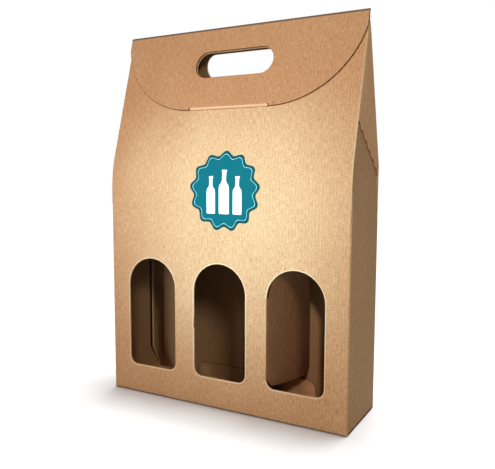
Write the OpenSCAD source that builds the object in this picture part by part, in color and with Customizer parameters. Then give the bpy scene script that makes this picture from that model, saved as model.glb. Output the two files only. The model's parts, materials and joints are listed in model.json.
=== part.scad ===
// Bottle carrier: one folded sheet of micro-flute kraft board with three windows.
// Front faces -Y, the ridge runs along X, the box stands on Z = 0.

/* [Box] */
// Width across the front
box_w = 264; // [250:1:290]
// Depth from front to back
box_d = 79; // [76:1:90]
// Height to the top of the ridge
box_h = 376; // [350:1:410]
// Height at which the back leans in to the ridge
shoulder_z = 239; // [225:1:250]
// Thickness of the board
board_t = 1.6; // [1.2:0.1:2]
// Outer radius of the soft bend between front and front slope
front_bend_r = 125; // [80:1:140]
// Outer radius of the bend between back and back slope
back_bend_r = 12; // [6:1:30]
// Outer radius of the upright corner folds
corner_r = 2.4; // [2.2:0.1:4]
// Radius of the board's fold at the ridge
ridge_r = 1.4; // [1.2:0.1:2]

/* [Windows] */
// Width of a window
window_w = 58; // [44:0.5:62]
// Height of the window sill
window_z = 30.5; // [24:0.5:45]
// Height of the top of the window arch
window_top = 144.5; // [120:0.5:165]
// Radius of the two lower corners
window_corner_r = 8.5; // [3:0.5:14]

/* [Closure flap] */
// Reach of the flap down the front slope, from the ridge to the lip
flap_reach = 84; // [76:0.5:95]
// Run of each round shoulder, from the side in to the tongue
flap_shoulder = 88; // [78:1:95]
// Length of the flap's straight side, from the ridge to the round shoulder
flap_side = 13; // [8:0.5:30]
// Length of the slope over which the tongue bends in
tongue_l = 3; // [2.5:0.1:5]
// Angle by which the tongue bends in
tongue_bend = 62; // [55:1:68]

/* [Handle] */
// Length of the handle hole
handle_w = 86; // [76:1:100]
// Height of the handle hole
handle_h = 27; // [22:0.5:32]
// Middle of the handle hole, down the slope from the ridge
handle_drop = 37.4; // [32:0.2:44]

/* [Sides] */
// Height at which a side starts to lean in under its wing
side_crease_z = 190; // [170:1:200]
// Lean of the side above that height, in degrees
side_lean = 2.7; // [2.6:0.1:6]
// Height to which the side goes on behind the wing
side_top_z = 300; // [285:1:320]
// Height of a wing's wavy edge at the front slope
wing_front_z = 277; // [265:1:290]
// Height of a wing's wavy edge at the back fold
wing_back_z = 229.5; // [228:0.5:240]
// Length of one wave of the edge
wave_l = 13; // [10:0.5:20]
// Depth of the waves, from the middle line
wave_depth = 1.2; // [0.4:0.1:2]
// Width of the glue tab inside the back left corner
glue_w = 18; // [14:1:26]
// Height of the slanted end of the glue tab
glue_slant_h = 24; // [10:1:40]
// Height at which the glue tab starts
glue_z = 6; // [5:0.5:12]

/* [Dividers] */
// Angle of the left divider from the front
left_swing = 43; // [20:1:85]
// Angle of the right divider from the front
right_swing = 70; // [20:1:85]

/* [Bottom] */
// Height of the tuck tab inside the back
tuck_h = 18; // [12:0.5:22]
// Width of the tuck tab
tuck_w = 144; // [100:1:148]
// Radius of the tuck tab's upper corners
tuck_corner_r = 9; // [4:0.5:12]
// Lean of the tuck tab away from the back, in degrees
tuck_lean = 6.6; // [6.5:0.1:9]
// Length of each dust flap from the side
dust_l = 55; // [40:1:56]
// Corner cut of a dust flap
dust_cut = 7; // [3:0.5:14]

/* [Seal] */
// Diameter of the seal across its lobes
seal_d = 77; // [60:1:90]
// Sideways place of the seal
seal_x = 6; // [-20:1:20]
// Height of the middle of the seal
seal_z = 215; // [200:1:225]
// Thickness of the seal's paper
seal_t = 0.25; // [0.15:0.05:0.4]
// Number of lobes around the seal
seal_lobes = 13; // [11:1:18]
// Depth of the lobes, from tip to hollow
lobe_depth = 4.4; // [2:0.2:7]

/* [Clearances] */
// Gap around a cut-out that swings in its window
cut_gap = 0.4; // [0.3:0.1:0.8]
// Gap at a flap's fold
fold_gap = 0.3; // [0.2:0.05:0.5]
// Gap between two layers of board that lie on each other
lay_gap = 0.25; // [0.2:0.05:0.4]
// Gap beside an edge that is tucked between two sheets
tuck_gap = 0.6; // [0.4:0.1:1.5]
// Gap under the paper seal
seal_gap = 0.02; // [0.01:0.01:0.05]

/* [Hidden] */
$fn = 96;
kraft = [0.76, 0.58, 0.40];
kraft_inside = [0.66, 0.49, 0.33];
teal = [0.09, 0.50, 0.58];
over = 1;

half_w = box_w / 2;
half_d = box_d / 2;
ridge_z = box_h - ridge_r;
slope = atan((half_d - board_t / 2) / (ridge_z - shoulder_z));

// Distances from the ridge plane of each slope, measured outwards
back_out = board_t / 2;
front_out = -board_t / 2 - lay_gap;
front_in = front_out - board_t;
front_top_s = 4;
front_bend_z = bend_z(front_bend_r, front_out);
back_bend_z = bend_z(back_bend_r, back_out);

window_r = window_w / 2;
window_count = 3;
window_gap = (box_w - window_count * window_w) / (window_count + 1);
window_pitch = window_w + window_gap;
last_window = (window_count - 1) / 2;
spring_z = window_top - window_r;
flap_drop = flap_reach - flap_side;
flap_arc_r = (flap_shoulder * flap_shoulder + flap_drop * flap_drop) / (2 * flap_drop);
tongue_w = box_w - 2 * flap_shoulder;
tongue_s = flap_reach - tongue_l;
slot_gap = 0.8;
dust_z = board_t + lay_gap;
wing_drop = 9;
wing_top_z = ridge_z - wing_drop;
swing_gap = 0.5;
bottom_back = box_d - board_t - swing_gap;
points_per_wave = 8;

// Height at which a wall starts to bend, so that it runs into its slope smoothly
function bend_z(r, out) =
    ridge_z - (half_d * cos(slope) + r * (1 - cos(slope)) - out) / sin(slope);

// Depth at height z of a plane that lies a distance out from the front slope's ridge plane
function front_y(z, out) = tan(slope) * (z - ridge_z) - out / cos(slope);

// Points of a wavy edge from a to b
function wavy_edge(a, b) =
    let (l = norm(b - a), along = (b - a) / l, across = [-along[1], along[0]],
         waves = max(1, round(l / wave_l)), steps = waves * points_per_wave)
    [for (i = [0 : steps]) a + along * l * i / steps
                           + across * wave_depth * sin(360 * waves * i / steps)];

// Draws a side outline (depth, height) and extrudes it along X
module along_x(length) {
    rotate([90, 0, 90]) linear_extrude(length, center = true) children();
}

// Draws an outline (X, height) and extrudes it through the front wall
module through_front(y, depth) {
    translate([0, y, 0]) rotate([90, 0, 0]) linear_extrude(depth, center = true) children();
}

// Frame of the front slope: X along the ridge, Y up the slope, Z outwards, origin on the ridge
module front_slope() {
    translate([0, 0, ridge_z]) rotate([90 - slope, 0, 0]) children();
}

module back_slope() {
    mirror([0, 1, 0]) front_slope() children();
}

module both_sides() {
    children();
    mirror([1, 0, 0]) children();
}

// Round-cornered outline of the upright walls
module wall_outline(inset) {
    r = corner_r - inset;
    w = half_w - inset;
    d = half_d - inset;
    square([2 * w, 2 * (d - r)], center = true);
    square([2 * (w - r), 2 * d], center = true);
    for (x = [-1, 1], y = [-1, 1])
        translate([x * (w - r), y * (d - r)]) circle(r);
}

// Side outline of a wall that bends into its slope, drawn for the front; y is its outer face
module bent_wall(y, r, bend_start, out, thick, from_z, top_s) {
    reach = slope_reach(y, r, bend_start);
    translate([y, from_z]) square([thick, bend_start - from_z]);
    intersection() {
        translate([y + r, bend_start]) difference() {
            circle(r, $fn = 192);
            circle(r - thick, $fn = 192);
        }
        translate([y + r, bend_start])
            polygon([[0, 0], [-2 * r, 0], [-2 * r * cos(slope), 2 * r * sin(slope)]]);
    }
    translate([0, ridge_z]) rotate(-slope) translate([-out, -reach]) square([thick, reach - top_s]);
}

// Distance down the slope from the ridge to the end of the bend
function slope_reach(y, r, bend_start) =
    (ridge_z - bend_start - r * sin(slope)) * cos(slope) - (y + r * (1 - cos(slope))) * sin(slope);

module window_outline(x, inset) {
    r = window_r - inset;
    c = window_corner_r;
    low = window_z + inset;
    translate([x, spring_z]) circle(r);
    translate([x - r, low + c]) square([2 * r, spring_z - low - c]);
    translate([x - r + c, low]) square([2 * (r - c), c]);
    for (s = [-1, 1]) translate([x + s * (r - c), low + c]) circle(c);
}

module handle_outline() {
    run = handle_w - handle_h;
    translate([0, -handle_drop]) {
        square([run, handle_h], center = true);
        for (s = [-1, 1]) translate([s * run / 2, 0]) circle(d = handle_h);
    }
}

module handle_cut() {
    linear_extrude(4 * ridge_r + 4 * board_t, center = true) handle_outline();
}

// Upright walls below the crease of the sides, with the sides raised to the dust flaps
module lower_walls() {
    difference() {
        linear_extrude(side_crease_z) difference() {
            wall_outline(0);
            wall_outline(board_t);
        }
        translate([-box_w, -half_d + board_t, -over]) cube([2 * box_w, box_d - 2 * board_t, dust_z + over]);
    }
}

module front_sheet() {
    along_x(box_w)
        bent_wall(-half_d, front_bend_r, front_bend_z, front_out, board_t, side_crease_z, front_top_s);
}

// Back wall and back slope, mitred at the ridge under the round of the fold
module back_sheet() {
    mirror([0, 1, 0]) along_x(box_w) difference() {
        bent_wall(-half_d, back_bend_r, back_bend_z, back_out, board_t, side_crease_z, 0);
        translate([0, shoulder_z]) square([half_d, box_h]);
    }
    translate([0, 0, ridge_z]) rotate([0, 90, 0]) cylinder(h = box_w, r = ridge_r, center = true);
}

// Wing folded off the back slope, closing the gable end
module wing() {
    edge_out = front_in - cut_gap;
    lower_edge = wavy_edge([front_y(wing_front_z, edge_out), wing_front_z],
                           [half_d - board_t / 2, wing_back_z]);
    fold = [[half_d - board_t / 2, back_bend_z], [-front_y(wing_top_z, 0), wing_top_z]];
    translate([half_w - board_t / 2, 0, 0]) along_x(board_t)
        polygon(concat(lower_edge, fold, [[front_y(wing_top_z, edge_out), wing_top_z]]));
}

// The side goes on above its crease and leans in behind the wing
module side_extension() {
    front_edge = front_in - tuck_gap;
    bend_end_z = front_bend_z + front_bend_r * sin(slope);
    outline = [[half_d - board_t - tuck_gap, side_crease_z], [half_d - board_t - tuck_gap, back_bend_z],
               [front_y(side_top_z, front_edge), side_top_z], [front_y(bend_end_z, front_edge), bend_end_z],
               [-half_d + board_t + tuck_gap, front_bend_z], [-half_d + board_t + tuck_gap, side_crease_z]];
    translate([half_w, 0, side_crease_z]) rotate([0, -side_lean, 0])
        translate([-board_t / 2, 0, -side_crease_z]) along_x(board_t) polygon(outline);
}

// Tab folded off the back and glued inside the left wall
module glue_tab() {
    back_y = half_d - board_t / 2;
    free_y = half_d - board_t - glue_w;
    translate([-half_w + 1.5 * board_t, 0, 0]) along_x(board_t)
        polygon([[back_y, glue_z], [half_d - board_t, glue_z], [free_y, glue_z + glue_slant_h],
                 [free_y, side_crease_z - glue_slant_h], [half_d - board_t, side_crease_z - glue_z],
                 [back_y, side_crease_z - glue_z]]);
}

module dust_flap() {
    y = half_d - board_t - tuck_gap;
    inner = half_w - dust_l;
    outer = half_w - board_t / 2;
    translate([0, 0, dust_z]) linear_extrude(board_t)
        polygon([[outer, -y], [outer, y], [inner + dust_cut, y], [inner, y - dust_cut],
                 [inner, dust_cut - y], [inner + dust_cut, -y]]);
}

module carton() {
    color(kraft) difference() {
        union() {
            lower_walls();
            front_sheet();
            back_sheet();
            both_sides() {
                wing();
                side_extension();
                dust_flap();
            }
            glue_tab();
        }
        for (i = [-last_window : last_window])
            through_front(-half_d, 4 * board_t) window_outline(i * window_pitch, 0);
        front_slope() handle_cut();
        back_slope() handle_cut();
        front_slope() translate([-tongue_w / 2 - slot_gap, -flap_reach - fold_gap, -4 * board_t])
            cube([tongue_w + 2 * slot_gap, tongue_l + fold_gap + slot_gap, 4 * board_t]);
    }
}

// Outline of the closure flap above its tongue, with round shoulders
module flap_outline() {
    translate([-tongue_w / 2, -tongue_s]) square([tongue_w, tongue_s]);
    for (s = [0, 1]) mirror([s, 0]) intersection() {
        translate([tongue_w / 2, flap_arc_r - flap_reach]) circle(flap_arc_r, $fn = 192);
        translate([tongue_w / 2, -flap_reach]) square([half_w - tongue_w / 2, flap_reach]);
    }
}

// Side outline of the tongue: a short flat piece, then the part that bends in
module tongue_outline() {
    h = board_t / 2;
    run = (tongue_l - fold_gap - h * sin(tongue_bend)) / cos(tongue_bend);
    mitre = h * tan(tongue_bend / 2);
    tip = [-tongue_s - run * cos(tongue_bend), -run * sin(tongue_bend)];
    across = h * [sin(tongue_bend), -cos(tongue_bend)];
    polygon([[board_t - tongue_s, h], [board_t - tongue_s, -h], [mitre - tongue_s, -h],
             tip + across, tip - across, [-mitre - tongue_s, h]]);
}

module closure_flap() {
    color(kraft) difference() {
        front_slope() difference() {
            union() {
                linear_extrude(board_t, center = true) flap_outline();
                along_x(tongue_w - 2 * fold_gap) tongue_outline();
            }
            rotate([0, 90, 0]) cylinder(h = 2 * box_w, r = ridge_r + fold_gap, center = true);
            handle_cut();
        }
        translate([-box_w, -fold_gap, shoulder_z]) cube([2 * box_w, half_d, box_h]);
    }
}

// Cut-out of an outer window, swung in on its inner edge; side is -1 left, 1 right
module divider_flap(side, swing) {
    middle_x = side * last_window * window_pitch;
    hinge_x = middle_x - side * window_r;
    color(kraft_inside) translate([hinge_x, -half_d + board_t, 0]) rotate([0, 0, side * swing])
        translate([-hinge_x, half_d - board_t, 0])
            through_front(-half_d + board_t / 2, board_t) window_outline(middle_x, cut_gap);
}

module divider_flap_left() {
    divider_flap(-1, left_swing);
}

module divider_flap_right() {
    divider_flap(1, right_swing);
}

module bottom_flap() {
    front_y0 = -half_d + board_t + fold_gap;
    back_y0 = -half_d + bottom_back;
    panel_w = box_w - 2 * cut_gap;
    color(kraft_inside) {
        translate([-panel_w / 2, front_y0, 0]) cube([panel_w, back_y0 - board_t - front_y0, board_t]);
        tuck_tab(back_y0);
    }
}

// Tab that goes up inside the back, leaning forward so that it swings out freely
module tuck_tab(back_y0) {
    r = tuck_corner_r;
    root_y = back_y0 - 2 * board_t;
    top_y = back_y0 - tuck_h * tan(tuck_lean);
    slant_t = board_t / cos(tuck_lean);
    intersection() {
        along_x(tuck_w)
            polygon([[root_y, 0], [back_y0, 0], [top_y, tuck_h], [top_y - slant_t, tuck_h],
                     [back_y0 - board_t * tan(tuck_lean) - slant_t, board_t], [root_y, board_t]]);
        through_front(back_y0, 8 * board_t) {
            translate([-tuck_w / 2, 0]) square([tuck_w, tuck_h - r]);
            translate([-tuck_w / 2 + r, tuck_h - r]) square([tuck_w - 2 * r, r]);
            for (s = [-1, 1]) translate([s * (tuck_w / 2 - r), tuck_h - r]) circle(r);
        }
    }
}

// Wavy round outline of the seal
module seal_outline() {
    points = seal_lobes * points_per_wave;
    polygon([for (i = [0 : points - 1])
        let (a = 360 * i / points)
        (seal_d / 2 - lobe_depth / 2 * (1 - cos(seal_lobes * a))) * [sin(a), cos(a)]]);
}

// Paper seal that follows the soft bend of the front
module seal_sticker() {
    color(teal) intersection() {
        through_front(-half_d, seal_d) translate([seal_x, seal_z]) seal_outline();
        along_x(box_w) difference() {
            front_fill(seal_gap + seal_t, board_t);
            front_fill(seal_gap, 2 * board_t);
        }
    }
}

// Side outline of what lies behind the front's outer face, moved out by an amount
module front_fill(out, depth) {
    low_z = seal_z - seal_d;
    top_z = front_bend_z + front_bend_r * sin(slope);
    reach = slope_reach(-half_d, front_bend_r, front_bend_z) + board_t;
    translate([-half_d - out, low_z]) square([depth + out, front_bend_z - low_z]);
    intersection() {
        translate([front_bend_r - half_d, front_bend_z]) circle(front_bend_r + out, $fn = 192);
        translate([-half_d - out, front_bend_z - board_t])
            square([half_d / 2 + depth, top_z - front_bend_z + board_t]);
    }
    translate([0, ridge_z]) rotate(-slope) translate([-front_out - out, -reach])
        square([half_d / 2 + depth, reach - flap_reach]);
}

carton();
closure_flap();
divider_flap_left();
divider_flap_right();
bottom_flap();
seal_sticker();
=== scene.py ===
# Kraft bottle carrier: board pieces, finishes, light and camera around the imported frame.
import json
import math

import bpy
import numpy as np
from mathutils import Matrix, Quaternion, Vector
from mathutils.geometry import delaunay_2d_cdt
from mathutils.kdtree import KDTree


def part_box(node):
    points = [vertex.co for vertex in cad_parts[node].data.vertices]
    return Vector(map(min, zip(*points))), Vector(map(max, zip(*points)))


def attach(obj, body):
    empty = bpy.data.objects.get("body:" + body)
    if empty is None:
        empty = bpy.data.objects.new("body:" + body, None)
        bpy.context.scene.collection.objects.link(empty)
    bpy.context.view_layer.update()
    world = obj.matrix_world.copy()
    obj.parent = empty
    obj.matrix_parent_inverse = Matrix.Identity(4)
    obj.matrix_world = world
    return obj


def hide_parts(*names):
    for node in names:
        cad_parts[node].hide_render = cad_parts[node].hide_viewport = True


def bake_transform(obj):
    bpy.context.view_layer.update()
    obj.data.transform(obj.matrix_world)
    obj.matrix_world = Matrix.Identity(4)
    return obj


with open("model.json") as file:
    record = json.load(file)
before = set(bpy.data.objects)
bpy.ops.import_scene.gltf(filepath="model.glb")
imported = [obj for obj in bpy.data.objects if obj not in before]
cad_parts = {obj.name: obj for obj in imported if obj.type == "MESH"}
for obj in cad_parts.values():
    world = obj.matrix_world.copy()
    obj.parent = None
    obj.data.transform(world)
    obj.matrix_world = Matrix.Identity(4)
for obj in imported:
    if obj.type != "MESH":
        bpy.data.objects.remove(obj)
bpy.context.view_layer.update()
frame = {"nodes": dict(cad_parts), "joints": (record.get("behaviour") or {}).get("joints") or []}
mm = 0.001
near = 0.1       # points this close to a line count as on it
tiny = 1e-6      # lengths below this are nothing
joints = {j["name"]: j for j in frame["joints"]}
print("frame loaded:", ", ".join(sorted(frame["nodes"])))

# Main sizes in millimetres, read from the frame
cartonLow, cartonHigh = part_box("carton")
halfW = (cartonHigh.x - cartonLow.x) / 2 / mm
halfD = (cartonHigh.y - cartonLow.y) / 2 / mm
ridgeZ = joints["closure_fold"]["pos_m"][2] / mm
hingeX = joints["right_divider_fold"]["pos_m"][0] / mm
hingeY = joints["right_divider_fold"]["pos_m"][1] / mm

board = {
    "thick": halfD + hingeY,   # the dividers turn on the front's inner face
    "cornerR": 2.4,            # outer radius of the upright folds
    "bevel": 0.32,             # soft rim left by the cutting die
    "outerRim": ((0.9, 1 / 32), (0.3, 0.25), (0, 0.8)),   # rows of the rim: inset and depth in bevels
    "innerRim": ((0, 0.8), (0.3, 0.25)),
    "mitre": 0.7,              # keeps the rim of a sharp corner short
    "liner": 0.3,              # paper on each face
    "linerLip": 0.02,          # slant of the liner's edge towards the flutes
    "recess": 0.4,             # flutes crushed back from the cut
    "flutePitch": 3.2,
    "layGap": 0.25,            # between the front sheet and the flap over it
    "gridStep": 8.0,
    "edgeStep": 2.0,
    "edgeClear": 0.45,         # the grid keeps this far off the cut
    "cornerPoints": 7,
    "rollPoints": 6,
    "sliver": 0.002,           # triangles flatter than this have no true normal
}
arcStep = {"wide": 6.0, "corner": 15.0, "flap": 2.0}   # degrees between an arc's points
faceSlot, insideSlot, rimSlot, bedSlot = range(4)      # order of a piece's finishes
thick = board["thick"]
cornerR = board["cornerR"]
quarter = math.pi / 2
flatHalf = halfW - cornerR
cornerL = cornerR * quarter
sideFlat = 2 * (halfD - cornerR)

gable = {
    "shoulderZ": 239.0,        # where the slopes' planes leave the walls
    "frontBendR": 125.0,
    "frontBendRows": 9,
    "backBendR": 12.0,
    "backBendRows": 7,
    "frontTopS": 4.0,          # the front sheet stops this far under the ridge
    "ridgeBead": 0.55,         # swell of the fold along the ridge
    "ridgeSpread": 1.6,
    "ridgeRows": 9,
    "frontRows": (0.6, 4.2, 7),   # first, last and count of the rows beside the ridge
    "backRows": (0.5, 4.0, 6),
    "ridgeBlend": 1.3,         # half the depth over which the fold turns
    "backJoinS": 5.0,
}
slope = math.atan((halfD - thick / 2) / (ridgeZ - gable["shoulderZ"]))
sinS, cosS = math.sin(slope), math.cos(slope)
frontOut = -thick / 2 - board["layGap"]
backOut = thick / 2


# A line that runs straight and turns, leg by leg; returns place and heading
def foldedLine(q, start, heading, legs):
    q = np.asarray(q, float)
    x = np.full(q.shape, float(start[0]))
    y = np.full(q.shape, float(start[1]))
    turned = np.full(q.shape, float(heading))
    done, angle = 0.0, heading
    for i, (length, turn) in enumerate(legs):
        low = -np.inf if i == 0 else 0.0
        high = np.inf if i == len(legs) - 1 else length
        part = np.clip(q - done, low, high)
        if turn == 0:
            x += part * math.cos(angle)
            y += part * math.sin(angle)
        else:
            r = length / turn
            x += r * (np.sin(angle + part / r) - math.sin(angle))
            y += r * (math.cos(angle) - np.cos(angle + part / r))
            turned += part / r
        done += length
        angle += turn
    return x, y, turned


# Sheet heights of a wall that bends into its slope
def wallBend(r, out):
    start = ridgeZ - (halfD * cosS + r * (1 - cosS) - out) / sinS
    y = -halfD + r * (1 - cosS)
    reach = (ridgeZ - start - r * sinS) * cosS - y * sinS
    return {"r": r, "start": start, "arc": r * slope, "reach": reach, "end": start + r * slope}


frontBend = wallBend(gable["frontBendR"], frontOut)
backBend = wallBend(gable["backBendR"], backOut)


# Sheet height of a point s down from the ridge
def sheetHeight(bend, s):
    return bend["end"] + bend["reach"] - s


# Distance from the middle plane and height of a point h deep in a bent wall
def wallPoint(v, h, bend):
    out, z, turned = foldedLine(v, (halfD, 0), quarter,
                                [(bend["start"], 0), (bend["arc"], slope), (1, 0)])
    return out - h * np.sin(turned), z + h * np.cos(turned)


# Depth in the back sheet, and sheet height, of a wing's point at y and z
def backSheetPoint(y, z):
    r, start = backBend["r"], backBend["start"]
    if z <= start:
        return halfD - y, z
    dy, dz = y - (halfD - r), z - start
    phi = math.atan2(dz, dy)
    if phi < slope:
        return r - math.hypot(dy, dz), start + r * phi
    s = y * sinS - (z - ridgeZ) * cosS
    return backOut - (y * cosS + (z - ridgeZ) * sinS), sheetHeight(backBend, s)


def arcPoints(x, y, r, fromDeg, toDeg, step=arcStep["wide"]):
    count = max(2, int(abs(toDeg - fromDeg) / step) + 1)
    angles = np.radians(np.linspace(fromDeg, toDeg, count))
    return [(x + r * math.cos(a), y + r * math.sin(a)) for a in angles]


# The other half of an outline that is alike on both sides of x
def mirror(half, x=0.0):
    return [(2 * x - px, v) for px, v in reversed(half)]


def resample(loop, step):
    points = []
    for a, b in zip(loop, loop[1:] + loop[:1]):
        gap = math.dist(a, b)
        if gap < tiny:
            continue
        count = max(1, math.ceil(gap / step))
        points += [(a[0] + (b[0] - a[0]) * i / count, a[1] + (b[1] - a[1]) * i / count)
                   for i in range(count)]
    return np.array(points)


def turnedArea(loop):
    x, y = loop[:, 0], loop[:, 1]
    return 0.5 * float(np.sum(x * np.roll(y, -1) - np.roll(x, -1) * y))


# Even-odd test of many points against all loops, a batch at a time
def insideLoops(points, loops, batch=1500):
    odd = np.zeros(len(points), bool)
    for loop in loops:
        x0, y0 = loop[:, 0], loop[:, 1]
        x1, y1 = np.roll(x0, -1), np.roll(y0, -1)
        rise = np.where(y1 == y0, 1.0, y1 - y0)
        for k in range(0, len(points), batch):
            px, py = points[k:k + batch, :1], points[k:k + batch, 1:]
            crosses = (y0 > py) != (y1 > py)
            hits = crosses & (px < (x1 - x0) * (py - y0) / rise + x0)
            odd[k:k + batch] ^= (hits.sum(1) % 2).astype(bool)
    return odd


def unit(rows):
    return rows / np.maximum(np.linalg.norm(rows, axis=1, keepdims=True), tiny)


# Vectors of about unit length that point into the board at each point of a loop
def intoBoard(loop):
    along = unit(np.roll(loop, -1, 0) - loop)
    left = np.stack([-along[:, 1], along[:, 0]], 1)
    both = left + np.roll(left, 1, 0)
    size = np.maximum(np.linalg.norm(both, axis=1, keepdims=True), board["mitre"])
    return 2 * both / size ** 2


# Points inside the loops: an even grid with extra columns and rows, and the finer grids
def gridPoints(loops, step, extraU, extraV, fine):
    low, high = loops[0].min(0), loops[0].max(0)
    u = np.unique(np.concatenate([np.arange(low[0] + step / 2, high[0], step), extraU]))
    v = np.unique(np.concatenate([np.arange(low[1] + step / 2, high[1], step), extraV]))
    grids = [np.stack(np.meshgrid(a, b), -1).reshape(-1, 2) for a, b in [(u, v)] + fine]
    grid = np.unique(np.concatenate(grids).round(5), axis=0)
    grid = grid[insideLoops(grid, loops)]
    tree = KDTree(sum(len(x) for x in loops))
    for i, p in enumerate(np.concatenate(loops)):
        tree.insert((p[0], p[1], 0), i)
    tree.balance()
    gaps = np.array([tree.find((p[0], p[1], 0))[2] for p in grid])
    return grid[gaps > board["edgeClear"]]


# A loop turned the right way round, with the way into the board and its folded stretches
def cutLoop(loop, isHole, isFold):
    loop = resample(list(loop), board["edgeStep"])
    if (turnedArea(loop) > 0) == isHole:
        loop = loop[::-1].copy()
    middle = (loop + np.roll(loop, -1, 0)) / 2
    fold = np.array([bool(isFold and isFold(u, v)) for u, v in middle])
    into = intoBoard(loop)
    into[fold | np.roll(fold, 1)] = 0
    return loop, into, fold


# Points and triangles of the flat face inside its rims
def fillFace(rims, step, extraU, extraV, fine):
    flat = np.concatenate(rims + [gridPoints(rims, step, extraU, extraV, fine)])
    edges, first = [], 0
    for rim in rims:
        n = len(rim)
        edges += [(first + i, first + (i + 1) % n) for i in range(n)]
        first += n
    found = delaunay_2d_cdt([Vector(p) for p in flat], edges, [], 0, tiny)
    flat = np.array([tuple(p) for p in found[0]])
    tris = np.array([tuple(f) for f in found[2]])
    tris = tris[insideLoops(flat[tris].mean(1), rims)]
    a, b, c = (flat[tris[:, i]] for i in range(3))
    turn = (b[:, 0] - a[:, 0]) * (c[:, 1] - a[:, 1]) - (b[:, 1] - a[:, 1]) * (c[:, 0] - a[:, 0])
    tris[turn < 0] = tris[turn < 0][:, ::-1]
    return flat, tris[np.abs(turn) > board["sliver"]]


# Inset and depth of a cut edge's rows: outer rim, outer liner, in to the flutes, out to the inner rim
def cutRows(width, deep):
    if deep < thick:
        return [(width, 0), (0, deep / 2), (width, deep)]
    bevel, liner, lip, recess = (board[k] for k in ("bevel", "liner", "linerLip", "recess"))
    rows = [(width, 0)] + [(bevel * inset, bevel * h) for inset, h in board["outerRim"]]
    rows += [(0, liner + lip), (recess, liner + 2 * lip)]
    rows += [(recess, deep - liner - 2 * lip), (0, deep - liner - lip)]
    return rows + [(bevel * inset, deep - bevel * h) for inset, h in board["innerRim"]] + [(width, deep)]


def addObject(name, data):
    item = bpy.data.objects.new(name, data)
    bpy.context.scene.collection.objects.link(item)
    return item


cutEdges = {}    # by piece, for the flutes


# Builds a piece of board from its cut outline and holes. place maps (u, v, depth) to millimetres,
# isFold tells the stretches of outline where the board runs on into another piece, rimWidths the
# pale rim of each loop, the outer and inner face's wear functions how far each face is painted pale
# (to 1: wear and painted highlights) or dark (to -1: painted shade) at a place, and fine the closer
# points at sharp turns
def boardPiece(name, loops, place, finishes, isFold=None, extraU=(), extraV=(), step=None, deep=None,
               rimWidths=None, wearAndPaintedLight=None, innerWearAndPaintedLight=None, fine=()):
    deep = thick if deep is None else deep
    cuts = [cutLoop(loop, i > 0, isFold) for i, loop in enumerate(loops)]
    widths = rimWidths or [board["bevel"]] * len(cuts)
    rims = [loop + into * width for (loop, into, fold), width in zip(cuts, widths)]
    flat, tris = fillFace(rims, step or board["gridStep"], extraU, extraV, list(fine))
    n = len(flat)
    zero = np.zeros(n)
    verts = [place(flat[:, 0], flat[:, 1], zero), place(flat[:, 0], flat[:, 1], zero + deep)]
    uvs = [flat, flat]
    faces = [tuple(t) for t in tris] + [tuple(t[::-1] + n) for t in tris]
    kinds = [faceSlot] * len(tris) + [insideSlot] * len(tris)
    first = 2 * n
    for (loop, into, fold), width in zip(cuts, widths):
        rows = cutRows(width, deep)
        count = len(loop)
        gaps = np.linalg.norm(np.roll(loop, -1, 0) - loop, axis=1)
        length = np.concatenate([[0], np.cumsum(gaps)[:-1]])
        for inset, h in rows:
            p = loop + into * inset
            depth = np.full(count, float(h))
            verts.append(place(p[:, 0], p[:, 1], depth))
            uvs.append(np.stack([length, depth], 1))
        for i in np.flatnonzero(~fold):
            j = (i + 1) % count
            for k in range(len(rows) - 1):
                upper, lower = first + k * count, first + (k + 1) * count
                faces.append((upper + i, lower + i, lower + j, upper + j))
                inFlutes = rows[k][0] == rows[k + 1][0] == board["recess"]
                kinds.append(bedSlot if inFlutes else rimSlot)
        first += count * len(rows)
    mesh = bpy.data.meshes.new(name)
    mesh.from_pydata((np.concatenate(verts) * mm).tolist(), [], faces)
    layer = mesh.uv_layers.new(name="sheet")
    index = np.zeros(len(mesh.loops), np.int32)
    mesh.loops.foreach_get("vertex_index", index)
    layer.uv.foreach_set("vector", (np.concatenate(uvs)[index] * mm).astype(np.float32).ravel())
    # Per point: pale towards 1 for wear and painted highlights, dark towards -1 for painted shade
    rubAndPaintedLight = np.zeros(len(mesh.vertices), np.float32)
    for start, paintedLightAndWearFn in ((0, wearAndPaintedLight), (n, innerWearAndPaintedLight)):
        if paintedLightAndWearFn:
            rubAndPaintedLight[start:start + n] = paintedLightAndWearFn(flat[:, 0], flat[:, 1])
    mesh.attributes.new("wearAndPaintedLight", "FLOAT", "POINT").data.foreach_set("value", rubAndPaintedLight)
    mesh.polygons.foreach_set("material_index", np.array(kinds, np.int32))
    mesh.polygons.foreach_set("use_smooth", np.ones(len(faces), bool))
    for finish in finishes:
        mesh.materials.append(finish)
    mesh.update()
    cutEdges[name] = [(loop, into, fold, place) for loop, into, fold in cuts]
    print("built", name, len(faces), "faces")
    return addObject(name, mesh)


# One function turns a written colour to linear light
def hexColour(text):
    parts = [int(text[i:i + 2], 16) / 255 for i in (1, 3, 5)]
    return tuple(c / 12.92 if c <= 0.04045 else ((c + 0.055) / 1.055) ** 2.4 for c in parts) + (1.0,)


# Adds a node, sets it up and links or fills its inputs; a node given as input stands for its first output
def addNode(tree, kind, inputs=None, **settings):
    node = tree.nodes.new(kind)
    for key, value in settings.items():
        setattr(node, key, value)
    for socket, value in (inputs or {}).items():
        if isinstance(value, bpy.types.Node):
            value = value.outputs[0]
        if isinstance(value, bpy.types.NodeSocket):
            tree.links.new(value, node.inputs[socket])
        else:
            node.inputs[socket].default_value = value
    return node


def newMaterial(name):
    material = bpy.data.materials.new(name)
    material.use_nodes = True
    material.node_tree.nodes.clear()
    return material, material.node_tree


# Gives a colour ramp its stops, from low to high
def setStops(ramp, stops):
    elements = ramp.color_ramp.elements
    while len(elements) < len(stops):
        elements.new(0.5)
    for element, (position, colour) in zip(elements, stops):
        element.position = position
        element.color = colour


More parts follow.
